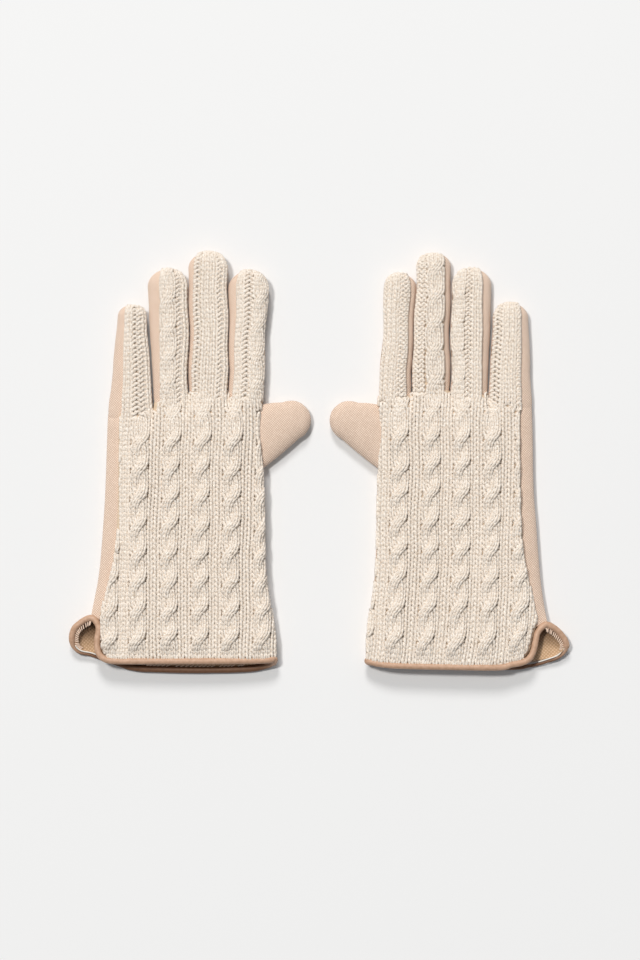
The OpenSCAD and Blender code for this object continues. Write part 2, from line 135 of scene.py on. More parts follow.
# A finger: its outline at the root and at the tip, y of the tip, the width of jersey on its outer side
# at each end, and its columns of knit from the outer side to the thumb side.
digits = {
    "left": {
        "index": {"edges": (24.2, 43.9, 24.8, 46.9), "tip": 231.5, "jersey": (2.6, 5),
                  "columns": [("knit", 2.7), ("knit", 2.7), ("purl", 5.4), ("cable", 8.6)]},
        "middle": {"edges": (1.8, 23.0, 1.2, 23.6), "tip": 242.2, "jersey": (1.8, 3),
                   "columns": [("purl", 4.8), ("knit", 3.2), ("knit", 3.2), ("knit", 3.2), ("purl", 2.8),
                               ("knit", 2.4)]},
        "ring": {"edges": (-18.2, 0.8, -22.0, 0.2), "tip": 232.5, "jersey": (3.6, 7),
                 "columns": [("cable", 9.8), ("purl", 3.4), ("knit", 2.8)]},
        "little": {"edges": (-45.2, -19.4, -39.6, -23.2), "tip": 212, "jersey": (8.2, 4.6),
                   "columns": [("knit", 3.3), ("knit", 3.3), ("purl", 5.6), ("purl", 3.6),
                               ("knit", 2.6)]},
    },
    "right": {
        "index": {"edges": (22.4, 40.6, 20.0, 37.2), "tip": 230, "jersey": (3.0, 3.6),
                  "columns": [("purl", 3.0), ("purl", 3.4), ("knit", 3.2), ("knit", 3.2), ("knit", 3.2)]},
        "middle": {"edges": (0.4, 21.2, -0.6, 18.8), "tip": 242, "jersey": (3.0, 3.6),
                   "columns": [("cable", 10.6), ("purl", 3), ("purl", 3)]},
        "ring": {"edges": (-21.2, -0.8, -23.8, -1.8), "tip": 233, "jersey": (3.4, 5.6),
                 "columns": [("knit", 3), ("knit", 3), ("purl", 3.4), ("cable", 7.2)]},
        "little": {"edges": (-47.4, -22.4, -45.4, -25.0), "tip": 213, "jersey": (6.4, 4.6),
                   "columns": [("purl", 2.6), ("knit", 3.1), ("knit", 3.1), ("knit", 3.1), ("purl", 5)]},
    },
}

# heights: of the widest part, of the knit over the jersey, and of the back over the widest part.
# hand and finger run into each other from rootBefore to rootAfter.
body = {"middle": 4.6, "low": 4.25, "lift": 1.15, "handRise": 6.4, "fingerRise": 5.2, "handRound": 3.6,
        "fingerRound": 2.5, "lowRound": 4, "rootBefore": 13, "rootAfter": 6, "tipInset": 1.4}
fingerNames = ("index", "middle", "ring", "little")
acrossHand = ("little", "ring", "middle", "index")
halfPair = 75.35


def mix(a, b, t):
    return a + (b - a) * t


def clamp(x, low=0.0, high=1.0):
    return max(low, min(high, x))


def smooth(a, b, x):
    t = clamp((x - a) / (b - a))
    return t * t * (3 - 2 * t)


def along(table, at):
    # a smooth curve through a short table of (position, value)
    if at <= table[0][0]:
        return table[0][1]
    if at >= table[-1][0]:
        return table[-1][1]
    i = max(k for k in range(len(table) - 1) if table[k][0] <= at)
    (x0, y0), (x1, y1) = table[i], table[i + 1]
    xa, ya = table[max(i - 1, 0)]
    xb, yb = table[min(i + 2, len(table) - 1)]
    m0 = (y1 - ya) / (x1 - xa)
    m1 = (yb - y0) / (xb - x0)
    t = (at - x0) / (x1 - x0)
    w = x1 - x0
    return ((2 * t**3 - 3 * t**2 + 1) * y0 + (t**3 - 2 * t**2 + t) * w * m0
            + (3 * t**2 - 2 * t**3) * y1 + (t**3 - t**2) * w * m1)


def placed(side, x, y, z):
    # a point of one glove in the shared frame
    flip = gloves[side]["flip"]
    return Vector((flip * (x - halfPair) * mm, cadLow.y + (y - 0.05) * mm, z * mm))


def wobble(x, y, seed, size, height):
    return noise.noise(Vector((x / size, y / size, seed))) * height


# the shape of a glove

def fingerAt(side, name, y):
    # outer edge, thumb-side edge and knit edge of a finger at y, with the round tip left out
    d = digits[side][name]
    root = gloves[side]["roots"][name]
    x0, x1, x2, x3 = d["edges"]
    dome = d["tip"] - (x3 - x2) / 2
    t = clamp((y - root) / (dome - root), -0.3, 1)
    order = acrossHand.index(name)
    far = smooth(root, root + 20, y)
    low = mix(x0, x2, t) + far * wobble(0, y, 3 + order, 26, 1.3) - (0.35 if order else 0)
    high = mix(x1, x3, t) + far * wobble(0, y, 4 + order, 26, 1.3) + (0.35 if order < 3 else 0)
    return low, high, low + mix(d["jersey"][0], d["jersey"][1], clamp(t))


def fingerRadius(side, name, x, y):
    # 0 in the middle of a finger and 1 at its outline, round the tip as well
    d = digits[side][name]
    low, high, knit = fingerAt(side, name, y)
    half = (high - low) / 2
    dome = d["tip"] - half
    u = (x - (low + high) / 2) / half
    return math.hypot(u, max(0, y - dome) / half)


def handAt(side, y):
    g = gloves[side]
    return along(g["outerEdge"], y), along(g["innerEdge"], y), along(g["knitEdge"], y)


def fingerUnder(side, x):
    gaps = gloves[side]["gaps"]
    return acrossHand[sum(x > gap for gap in gaps)]


def crown(q, rise, roundness):
    return rise * max(0, 1 - min(abs(q), 1) ** roundness) ** (1 / roundness)


def fingerTop(side, name, x, y):
    return body["middle"] + crown(fingerRadius(side, name, x, y), body["fingerRise"], body["fingerRound"])


def handTop(side, x, y):
    low, high, knit = handAt(side, y)
    u = (x - (low + high) / 2) / ((high - low) / 2)
    return body["middle"] + crown(u, body["handRise"], body["handRound"]) + wobble(x, y, 9, 30, 0.5)


def fingerShare(side, name, y):
    # 0 on the hand and 1 on the finger
    root = gloves[side]["roots"][name]
    return smooth(root - body["rootBefore"], root + body["rootAfter"], y)


def surfaceAt(side, name, x, y):
    # height of the jersey's top, over which the knit lies
    if name == "hand":
        name = fingerUnder(side, x)
    w = fingerShare(side, name, y)
    hand = handTop(side, x, y) if w < 1 else 0
    finger = fingerTop(side, name, x, y) if w > 0 else 0
    return mix(hand, finger, w)


def top(side, x, y):
    return surfaceAt(side, "hand", x, y)


# materials

def newMaterial(name):
    m = bpy.data.materials.new(name)
    m.use_nodes = True
    shader = m.node_tree.nodes["Principled BSDF"]
    return m, m.node_tree, shader


def node(tree, kind, **values):
    n = tree.nodes.new(kind)
    for key, value in values.items():
        if key in n.inputs:
            n.inputs[key].default_value = value
        else:
            setattr(n, key, value)
    return n


def ramp(tree, stops):
    n = tree.nodes.new("ShaderNodeValToRGB")
    n.color_ramp.elements[0].position = stops[0][0]
    n.color_ramp.elements[0].color = (*stops[0][1], 1)
    n.color_ramp.elements[1].position = stops[-1][0]
    n.color_ramp.elements[1].color = (*stops[-1][1], 1)
    for position, colour in stops[1:-1]:
        e = n.color_ramp.elements.new(position)
        e.color = (*colour, 1)
    return n


def bumpInto(tree, shader, height, distance, strength):
    b = node(tree, "ShaderNodeBump", Strength=strength, Distance=distance)
    tree.links.new(height, b.inputs["Height"])
    tree.links.new(b.outputs["Normal"], shader.inputs["Normal"])


def yarnMaterial():
    # marled yarn: flecks from tan to white
    m, tree, shader = newMaterial("yarn")
    place = node(tree, "ShaderNodeTexCoord")
    flecks = node(tree, "ShaderNodeTexNoise", Scale=1100, Detail=2, Roughness=0.6)
    tree.links.new(place.outputs["Object"], flecks.inputs["Vector"])
    colour = ramp(tree, [(0.30, yarnLook["dark"]), (0.43, yarnLook["mid"]), (0.58, yarnLook["pale"]),
                         (0.72, yarnLook["white"])])
    tree.links.new(flecks.outputs["Fac"], colour.inputs["Fac"])
    tree.links.new(colour.outputs["Color"], shader.inputs["Base Color"])
    fibres = node(tree, "ShaderNodeTexNoise", Scale=2600, Detail=2, Roughness=0.6)
    tree.links.new(place.outputs["Object"], fibres.inputs["Vector"])
    bumpInto(tree, shader, fibres.outputs["Fac"], 0.0004, 0.6)
    shader.inputs["Roughness"].default_value = 0.9
    shader.inputs["Specular IOR Level"].default_value = 0.15
    shader.inputs["Sheen Weight"].default_value = 0.25
    shader.inputs["Sheen Roughness"].default_value = 0.6
    return m


def jerseyMaterial(name, pale, deep, pitch):
    # fine jersey: a slanted lattice of pale stitches on the deeper colour
    m, tree, shader = newMaterial(name)
    place = node(tree, "ShaderNodeTexCoord")
    turned = node(tree, "ShaderNodeMapping", Rotation=(0, 0, math.radians(40)), Scale=(1, 1, 0.5))
    tree.links.new(place.outputs["Object"], turned.inputs["Vector"])
    ribs = []
    for direction in ("X", "Y"):
        w = node(tree, "ShaderNodeTexWave", bands_direction=direction, Scale=0.314 / pitch,
                 Distortion=0.6, Detail=1)
        w.inputs["Detail Scale"].default_value = 3
        tree.links.new(turned.outputs["Vector"], w.inputs["Vector"])
        ribs.append(w)
    lattice = node(tree, "ShaderNodeMath", operation="MULTIPLY")
    tree.links.new(ribs[0].outputs["Fac"], lattice.inputs[0])
    tree.links.new(ribs[1].outputs["Fac"], lattice.inputs[1])
    mottle = node(tree, "ShaderNodeTexNoise", Scale=700, Detail=3, Roughness=0.6)
    tree.links.new(place.outputs["Object"], mottle.inputs["Vector"])
    faint = node(tree, "ShaderNodeMath", operation="MULTIPLY")
    faint.inputs[1].default_value = 0.4
    tree.links.new(mottle.outputs["Fac"], faint.inputs[0])
    both = node(tree, "ShaderNodeMath", operation="MULTIPLY_ADD")
    both.inputs[1].default_value = 0.75
    tree.links.new(lattice.outputs["Value"], both.inputs[0])
    tree.links.new(faint.outputs["Value"], both.inputs[2])
    colour = ramp(tree, [(0.18, deep), (0.72, pale)])
    tree.links.new(both.outputs["Value"], colour.inputs["Fac"])
    tree.links.new(colour.outputs["Color"], shader.inputs["Base Color"])
    bumpInto(tree, shader, both.outputs["Value"], 0.0003, 0.5)
    shader.inputs["Roughness"].default_value = 0.85
    shader.inputs["Specular IOR Level"].default_value = 0.2
    shader.inputs["Sheen Weight"].default_value = 0.3
    shader.inputs["Sheen Roughness"].default_value = 0.5
    return m


def liningMaterial():
    # the lining, with painted shade that darkens it further up the glove, inside where light hardly
    # reaches
    m = jerseyMaterial("lining", (0.72, 0.50, 0.33), (0.50, 0.32, 0.18), 0.0014)
    tree = m.node_tree
    shader = tree.nodes["Principled BSDF"]
    cloth = shader.inputs["Base Color"].links[0].from_socket
    place = node(tree, "ShaderNodeTexCoord")
    split = node(tree, "ShaderNodeSeparateXYZ")
    tree.links.new(place.outputs["Object"], split.inputs["Vector"])
    # painted shade: from 13 to 27 mm up the glove the lining's colour falls to a dark brown
    depth = node(tree, "ShaderNodeMapRange")
    depth.inputs["From Min"].default_value = cadLow.y + 0.013
    depth.inputs["From Max"].default_value = cadLow.y + 0.027
    tree.links.new(split.outputs["Y"], depth.inputs["Value"])
    paintedShade = ramp(tree, [(0, (1, 1, 1)), (1, (0.22, 0.17, 0.14))])
    tree.links.new(depth.outputs["Result"], paintedShade.inputs["Fac"])
    tree.links.new(multiplied(tree, cloth, paintedShade.outputs["Color"]), shader.inputs["Base Color"])
    return m


def multiplied(tree, a, b):
    # one colour multiplied by another
    m = node(tree, "ShaderNodeMix", data_type="RGBA", blend_type="MULTIPLY")
    m.inputs[0].default_value = 1
    tree.links.new(a, m.inputs[6])
    tree.links.new(b, m.inputs[7])
    return m.outputs[2]


def bindingMaterial():
    # smooth tan binding, with painted shade making it darker where it lies low on the table, under the
    # back's hem
    m, tree, shader = newMaterial("binding")
    place = node(tree, "ShaderNodeTexCoord")
    grain = node(tree, "ShaderNodeTexNoise", Scale=500, Detail=3, Roughness=0.6)
    tree.links.new(place.outputs["Object"], grain.inputs["Vector"])
    colour = ramp(tree, [(0.3, bindingLook["deep"]), (0.7, bindingLook["pale"])])
    tree.links.new(grain.outputs["Fac"], colour.inputs["Fac"])
    height = node(tree, "ShaderNodeSeparateXYZ")
    tree.links.new(place.outputs["Object"], height.inputs["Vector"])
    # painted shade: where the binding lies lower than 3.6 to 5.8 mm its colour falls to a dark brown
    low = node(tree, "ShaderNodeMapRange")
    low.inputs["From Min"].default_value = 0.0036
    low.inputs["From Max"].default_value = 0.0058
    tree.links.new(height.outputs["Z"], low.inputs["Value"])
    paintedShade = ramp(tree, [(0, (0.32, 0.235, 0.17)), (1, (1, 1, 1))])
    tree.links.new(low.outputs["Result"], paintedShade.inputs["Fac"])
    shaded = multiplied(tree, colour.outputs["Color"], paintedShade.outputs["Color"])
    tree.links.new(shaded, shader.inputs["Base Color"])
    bumpInto(tree, shader, grain.outputs["Fac"], 0.0002, 0.4)
    shader.inputs["Roughness"].default_value = 0.5
    shader.inputs["Specular IOR Level"].default_value = 0.4
    return m


def plainMaterial(name, colour, roughness):
    m, tree, shader = newMaterial(name)
    shader.inputs["Base Color"].default_value = (*colour, 1)
    shader.inputs["Roughness"].default_value = roughness
    return m


yarnLook = {"dark": (0.62, 0.50, 0.38), "mid": (0.79, 0.69, 0.59), "pale": (0.88, 0.80, 0.71),
            "white": (0.95, 0.90, 0.84)}
bindingLook = {"deep": (0.46, 0.28, 0.18), "pale": (0.60, 0.39, 0.27)}
yarn = yarnMaterial()
# the cloth under the knit is real, but its darker brown than the jersey is painted shade for the gaps
# between stitches
shadedBacking = plainMaterial("shadedKnitBacking", (0.66, 0.52, 0.38), 0.95)
jersey = jerseyMaterial("jersey", (0.94, 0.77, 0.64), (0.58, 0.42, 0.32), 0.0010)
liningCloth = liningMaterial()
leather = bindingMaterial()
thread = plainMaterial("thread", (0.80, 0.61, 0.48), 0.8)
paleThread = plainMaterial("paleThread", (0.82, 0.78, 0.72), 0.8)
print("materials made")


# making pieces


def finished(name, mesh, material):
    piece = bpy.data.objects.new(name, mesh)
    bpy.context.scene.collection.objects.link(piece)
    mesh.materials.clear()
    mesh.materials.append(material)
    for p in mesh.polygons:
        p.use_smooth = True
    return piece


def fromBmesh(name, bm, material, thickness):
    # welds a skin and thickens it inward
    bmesh.ops.remove_doubles(bm, verts=bm.verts, dist=0.02 * mm)
    mesh = bpy.data.meshes.new(name)
    bm.to_mesh(mesh)
    bm.free()
    piece = finished(name, mesh, material)
    skin = piece.modifiers.new("skin", "SOLIDIFY")
    skin.thickness = thickness
    skin.offset = -1
    return piece


def patch(bm, columns, rows, away, shape):
    # a grid laid over shape(u, v), u and v from 0 to 1, facing away from a line along the glove
    made = bmesh.ops.create_grid(bm, x_segments=columns, y_segments=rows, size=0.5)["verts"]
    for v in made:
        v.co = shape(v.co.x + 0.5, v.co.y + 0.5)
    faces = {f for v in made for f in v.link_faces}
    outward = 0
    for f in faces:
        f.normal_update()
        c = f.calc_center_median()
        outward += f.calc_area() * f.normal.dot(Vector((c.x - away[0], 0, c.z - away[1])))
    if outward < 0:
        bmesh.ops.reverse_faces(bm, faces=list(faces))


def tubes(name, runs, radius, material, sides=1):
    # one round strand along each run of (point, thickness)
    line = bpy.data.curves.new(name, "CURVE")
    line.dimensions = "3D"
    line.bevel_depth = radius
    line.bevel_resolution = sides
    line.use_fill_caps = True
    line.twist_mode = "MINIMUM"
    for run in runs:
        spline = line.splines.new("POLY")
        spline.points.add(len(run) - 1)
        for p, (at, thick) in zip(spline.points, run):
            p.co = (*at, 1)
            p.radius = thick
    strand = bpy.data.objects.new(name + "_line", line)
    bpy.context.scene.collection.objects.link(strand)
    bpy.context.view_layer.update()
    mesh = bpy.data.meshes.new_from_object(strand.evaluated_get(bpy.context.evaluated_depsgraph_get()))
    bpy.data.objects.remove(strand)
    bm = bmesh.new()
    bm.from_mesh(mesh)
    bmesh.ops.recalc_face_normals(bm, faces=bm.faces)
    bm.to_mesh(mesh)
    bm.free()
    mesh.name = name
    return finished(name, mesh, material)


# the knit

# row: the distance between rows; loop, lean and depth: half the height, the slant and the depth of a
# stitch; cross: from one crossing of a cable to the next; tuck: where the yarn turns under an edge
knitting = {"firstRow": 9.4, "row": 2.7, "loop": 2.25, "lean": 0.2, "depth": 0.62, "cross": 16.2,
            "steps": 8, "yarn": 1.0, "ribYarn": 0.96, "cableYarn": 0.76, "edgeStitch": 3.6, "thin": 0.94,
            "fat": 1.07, "loose": 0.16, "tuck": 0.7, "tuckSlope": 0.75, "tuckMost": 2.2}

# over and under: how far the front pair rises and the back pair sinks at a crossing; spread and
# fatter: how much each widens there; crown and pairCrown: how round the cable and each pair are
cable = {"width": 10.2, "crown": 1.0, "dome": 0.62, "over": 1.35, "under": 0.05, "turn": 1.7,
         "pairCrown": 0.9, "fatter": 0.12, "spread": 0.35, "backSpread": 0.95, "backFatter": 0.45,
         "flatter": 0.85, "fingerBold": 0.24, "fingerCrown": 0.5, "uneven": 2.6, "fade": 0.9}


def stitchLine(kind, centre, width, rowY, jitter):
    # one stitch from its low left corner over its head to its low right corner
    face = -1 if kind == "purl" else 1
    points = []
    for k in range(knitting["steps"] + 1):
        t = 2 * math.pi * k / knitting["steps"]
        x = centre + width * (t / (2 * math.pi) - 0.5) + knitting["lean"] * width * math.sin(2 * t)
        y = rowY - knitting["loop"] * math.cos(t)
        z = -knitting["depth"] * face * math.cos(2 * t)
        points.append((x + jitter[0] * math.sin(t / 2), y + jitter[1] * math.sin(t / 2), z))
    return points


def cableTurn(side, centre, y, pair):
    # where a pair of stitches lies across its cable, from -1 to 1, and how high, as the two wind round
    # each other
    g = gloves[side]
    uneven = wobble(7 * centre, y, 51, 34, cable["uneven"])
    turn = math.pi * ((y + uneven - g["crossing"]) / knitting["cross"] + pair)
    across = math.tanh(cable["turn"] * math.sin(turn)) / math.tanh(cable["turn"])
    return across * g["flip"], math.cos(turn)


def relief(side, name, x, y):
    # how far the cables stand out of the knit
    if name == "hand":
        g = gloves[side]
        shift = along(g["lean"], y)
        centre = min((c + shift for c in g["cables"]), key=lambda c: abs(x - c))
        root = g["roots"][fingerUnder(side, x)]
        dome = max(0, 1 - ((x - centre) / (cable["dome"] * cable["width"])) ** 2)
        return cable["crown"] * dome * smooth(9, 17, y) * (1 - smooth(root - 9, root + 1, y))
    for kind, where, width in fingerWales(side, name):
        if kind == "cable":
            root = gloves[side]["roots"][name]
            dome = max(0, 1 - ((x - where(y)) / (cable["dome"] * width)) ** 2)
            return cable["fingerCrown"] * cable["crown"] * dome * smooth(root, root + 8, y)
    return 0


def edgesOfKnit(side, name, y):
    if name == "hand":
        low, high, knit = handAt(side, y)
        return knit, high + 0.4
    low, high, knit = fingerAt(side, name, y)
    return knit, high + 0.1


def roundedTip(side, name, x, y):
    # bends the straight rows of a finger round its tip
    low, high, knit = fingerAt(side, name, y)
    half = (high - low) / 2
    middle = (low + high) / 2
    dome = digits[side][name]["tip"] - half
    if y <= dome:
        return x, y
    u = (x - middle) / half
    v = min((y - dome) / half, 1)
    length = half - body["tipInset"]
    return middle + half * u * math.sqrt(1 - v * v / 2), dome + length * v * math.sqrt(1 - u * u / 2)


def settle(side, name, point, low, high, raised, thick):
    # lays a point of yarn on the glove, tucking it down at the edge of the cloth
    x, y, z = point
    x += wobble(x, y, 31, 26, 0.9)
    kept = clamp(x, low + knitting["tuck"], high - knitting["tuck"])
    under = min(abs(x - kept), knitting["tuckMost"])
    x = kept
    if name == "hand":
        root = gloves[side]["roots"][fingerUnder(side, x)]
        middle = smooth(12, 30, y) * (1 - smooth(root - 24, root - 5, y))
        y += hemLift(side, x, y) + wobble(x, y, 33, 26, 1.6) * middle
    else:
        x, y = roundedTip(side, name, x, y)
    height = surfaceAt(side, name, x, y) + body["lift"] + z + raised - knitting["tuckSlope"] * under
    return placed(side, x, y, height), thick


def knitPiece(side, name, wales, firstRow, lastRow):
    g = gloves[side]
    runs = []
    for r in range(firstRow, lastRow):
        rowY = knitting["firstRow"] + r * knitting["row"]
        low, high = edgesOfKnit(side, name, rowY)
        current = []
        shiftX = along(g["lean"], rowY) if name == "hand" else 0
        for kind, where, width in wales:
            centre = (where(rowY) if callable(where) else where) + shiftX
            if kind == "cable":
                if current:
                    runs.append(current)
                    current = []
                runs.extend(cableRuns(side, name, centre, width, rowY, low, high))
                continue
            within = low - 0.32 * width < centre < high + 0.32 * width
            if not (within and belongs(side, name, centre, rowY)):
                if current:
                    runs.append(current)
                    current = []
                continue
            loose = knitting["loose"]
            jitter = (random.uniform(-loose, loose), random.uniform(-loose, loose))
            thick = random.uniform(knitting["thin"], knitting["fat"])
            points = stitchLine(kind, centre, width, rowY, jitter)
            laid = [settle(side, name, p, low, high, 0, thick * knitting["ribYarn"]) for p in points]
            current = current[:-1] + laid if current else laid
        if current:
            runs.append(current)
    return runs


def hemLift(side, x, y):
    # near the cuff the rows of knit follow its hem
    return (along(gloves[side]["backHem"], x) + 1.7 - knitting["firstRow"]) * (1 - smooth(6, 42, y))


def belongs(side, name, x, rowY):
    # the hand's rows stop where a finger's begin, and run on a little between two fingers
    g = gloves[side]
    limit = g["roots"][fingerUnder(side, x)] + wobble(x, 0, 41, 5, 4)
    if name != "hand":
        return rowY >= limit
    for gap, web in zip(g["gaps"], g["webs"]):
        if abs(x - gap) < 2.4:
            limit = max(limit, web)
    return rowY < limit


def cableRuns(side, name, centre, width, rowY, low, high):
    # one row of the two pairs of stitches that wind round each other
    g = gloves[side]
    stitch = width / 4
    root = g["roots"][fingerUnder(side, centre)]
    fading = 1 - cable["fade"] * smooth(root - 20, root - 8, rowY)
    bold = smooth(9, 17, rowY) * fading if name == "hand" else cable["fingerBold"]
    runs = []
    for pair in (0, 1):
        line = []
        for i in (0, 1):
            across, lift = cableTurn(side, centre, rowY, pair)
            at = centre + stitch * (across + i - 0.5)
            if not (low - 0.2 * stitch < at < high + 0.2 * stitch and belongs(side, name, at, rowY)):
                if line:
                    runs.append(line)
                    line = []
                continue
            jitter = (random.uniform(-0.12, 0.12), random.uniform(-0.14, 0.14))
            thick = random.uniform(knitting["thin"], knitting["fat"]) * knitting["cableYarn"]
            laid = []
            for x, y, z in stitchLine("knit", stitch * (i - 0.5), stitch, rowY, jitter):
                across, lift = cableTurn(side, centre, y, pair)
                lobe = cable["pairCrown"] * max(0, 1 - (x / (1.1 * stitch)) ** 2)
                crossing = 1 - abs(across)
                if lift > 0:
                    spread, height, fatter = cable["spread"], cable["over"] * lift, cable["fatter"] * lift
                else:
                    spread, fatter = cable["backSpread"], cable["backFatter"] * crossing
                    height = cable["over"] * lift * cable["under"]
                x = centre + x * (1 + spread * crossing) + stitch * across
                raised = bold * (lobe + height) + relief(side, name, x, y)
                flat = (x, y, z * cable["flatter"])
                laid.append(settle(side, name, flat, low, high, raised, thick * (1 + fatter)))
            line = line[:-1] + laid if line else laid
        if line:
            runs.append(line)
    return runs


def handWales(side):
    g = gloves[side]
    wales = []
    for a, b in zip(g["cables"], g["cables"][1:]):
        wales.append(("cable", a, cable["width"]))
        rib = (b - a - cable["width"]) / 2
        wales.append(("knit", a + (cable["width"] + rib) / 2, rib))
        wales.append(("knit", b - (cable["width"] + rib) / 2, rib))
    wales.append(("cable", g["cables"][-1], cable["width"]))
    edge = knitting["edgeStitch"]
    for i in (0.5, 1.5):
        wales.append(("knit", g["cables"][-1] + cable["width"] / 2 + edge * i, edge))
        wales.insert(0, ("knit", g["cables"][0] - cable["width"] / 2 - edge * i, edge))
    return wales


def fingerWales(side, name):
    d = digits[side][name]
    total = sum(width for kind, width in d["columns"])
    dome = d["tip"] - (d["edges"][3] - d["edges"][2]) / 2
    wales = []
    at = 0
    for kind, width in d["columns"]:
        share = (at + width / 2) / total

        def where(y, share=share):
            low, high, knit = fingerAt(side, name, min(y, dome))
            return mix(knit, high - 0.3, share)

        wales.append((kind, where, width))
        at += width
    return wales


def firstRowAbove(y):
    return math.ceil((y - knitting["firstRow"]) / knitting["row"])


for side in ("left", "right"):
    g = gloves[side]
    last = firstRowAbove(max(g["webs"]) + 5)
    runs = knitPiece(side, "hand", handWales(side), 0, last)
    piece = tubes(side + "_knitBack", runs, knitting["yarn"] * mm, yarn)
    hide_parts(side + "_knit_back")
    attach(piece, side + "_hand")
    print(piece.name, len(piece.data.polygons), "faces")
    for name in fingerNames:
        root = g["roots"][name]
        runs = knitPiece(side, name, fingerWales(side, name), firstRowAbove(root - 5),
                         firstRowAbove(digits[side][name]["tip"] - 0.5))
        piece = tubes(side + "_" + name + "_knitting", runs, knitting["yarn"] * mm, yarn)
        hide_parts(side + "_" + name + "_knit")
        middle = sum(digits[side][name]["edges"][:2]) / 2
        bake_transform(piece)
        print(piece.name, len(piece.data.polygons), "faces")
print("knit made")


# cloth under the knit

def inside(side, x, z=5):
    at = placed(side, x, 0, z)
    return at.x, at.z


def insideFinger(side, name):
    x0, x1, x2, x3 = digits[side][name]["edges"]
    return inside(side, (x0 + x1 + x2 + x3) / 4, body["middle"])


underKnit = {"hand": 0.75, "finger": 0.6, "handThick": 0.7, "fingerThick": 0.6}


def handBacking(side):
    g = gloves[side]
    bm = bmesh.new()

    def shape(u, v):
        x = mix(along(g["knitEdge"], 90), along(g["innerEdge"], 90), u)
        last = g["roots"][fingerUnder(side, x)] + 2
        y = mix(along(g["backHem"], x) - 0.5, last, v)
        low, high, knit = handAt(side, y)
        x = mix(knit - 0.4, high - 0.5, u)
        z = top(side, x, y) + underKnit["hand"] + 0.9 * relief(side, "hand", x, y)
        return placed(side, x, y, z - 1.4 * smooth(0.93, 1, u) - 0.8 * (1 - smooth(0, 0.05, u)))

    patch(bm, 90, 60, inside(side, 0), shape)
    return fromBmesh(side + "_knitBackBase", bm, shadedBacking, underKnit["handThick"] * mm)


def fingerBacking(side, name):
    root = gloves[side]["roots"][name]
    d = digits[side][name]
    bm = bmesh.new()

    def shape(u, v):
        y = mix(root - 2, d["tip"] - 1.5, v)
        low, high = edgesOfKnit(side, name, y)
        x, y = roundedTip(side, name, mix(low + 0.2, high - 0.3, u), y)
        z = surfaceAt(side, name, x, y) + underKnit["finger"] + 0.8 * relief(side, name, x, y)
        return placed(side, x, y, z - 0.7 * smooth(0.9, 1, u))

    patch(bm, 18, 50, insideFinger(side, name), shape)
    return fromBmesh(side + "_" + name + "_knitBase", bm, shadedBacking, underKnit["fingerThick"] * mm)


# jersey

# thicknesses, how deep a seam dips, the angles round a finger where its seams run, and how far along
# a finger's jersey its round tip starts
sewing = {"jersey": 0.9, "lining": 0.5, "seamDepth": 0.7, "seams": (-12, 192, 348), "tipFrom": 0.7}


def ringPoint(side, name, y, angle, inset):
    # a point round a finger's jersey: angle 0 on the thumb side, 90 on top, 270 underneath
    d = digits[side][name]
    low, high, knit = fingerAt(side, name, y)
    half = (high - low) / 2
    dome = d["tip"] - half
    up = max(0, y - dome) / half
    width = math.sqrt(max(0, 1 - up * up))
    c = math.cos(angle) * width
    q = math.hypot(c, up)
    x = (low + high) / 2 + (half - inset) * c
    drawn = min(y, dome) + max(0, y - dome) * (1 - (body["tipInset"] + inset) / half)
    if math.sin(angle) >= 0:
        z = body["middle"] + crown(q, body["fingerRise"], body["fingerRound"])
        w = fingerShare(side, name, y)
        if w < 1:
            z = mix(handTop(side, x, y), z, w)
        z -= inset * math.sin(angle)
    else:
        z = body["middle"] - crown(q, body["low"], body["lowRound"]) - inset * math.sin(angle)
    return x, drawn, z


def fingerPatch(bm, side, name, first, last, columns, inset):
    # jersey round a finger between two angles, dipping into its seams
    root = gloves[side]["roots"][name]
    d = digits[side][name]
    dome = d["tip"] - (d["edges"][3] - d["edges"][2]) / 2

    def shape(u, v):
        if v < sewing["tipFrom"]:
            y = mix(root - 4, dome, v / sewing["tipFrom"])
        else:
            quarter = (v - sewing["tipFrom"]) / (1 - sewing["tipFrom"]) * math.pi / 2
            y = mix(dome, d["tip"], math.sin(quarter))
        angle = math.radians(mix(first, last, u))
        edge = min(abs(math.degrees(angle) - seam) for seam in sewing["seams"]) / 8
        dip = sewing["seamDepth"] * (1 - smooth(0, 1, edge))
        pucker = wobble(u * 40, y, 4, 9, 0.22)
        sunk = 1.1 * (1 - smooth(0, 0.09, v))
        x, y, z = ringPoint(side, name, y, angle, inset + dip + sunk - pucker)
        return placed(side, x, y, z)

    patch(bm, columns, 60, insideFinger(side, name), shape)


def fingerJersey(side, name):
    label = side + "_" + name
    bm = bmesh.new()
    fingerPatch(bm, side, name, 192, 348, 22, 0)
    front = fromBmesh(label + "_jerseyFront", bm, jersey, sewing["jersey"] * mm)
    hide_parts(label + "_front")
    bm = bmesh.new()
    fingerPatch(bm, side, name, 95, 192, 26, 0)
    fingerPatch(bm, side, name, -12, 95, 30, 0)
    sides = fromBmesh(label + "_jerseySides", bm, jersey, sewing["jersey"] * mm)
    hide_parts(label + "_side_strips")
    bm = bmesh.new()
    fingerPatch(bm, side, name, 0, 360, 40, 1.3)
    sock = fromBmesh(label + "_sock", bm, liningCloth, sewing["lining"] * mm)
    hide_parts(label + "_lining")
    return front, sides, sock


def bendFinger(side, name, pieces):
    middle = sum(digits[side][name]["edges"][:2]) / 2
    for piece in pieces:
        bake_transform(piece)


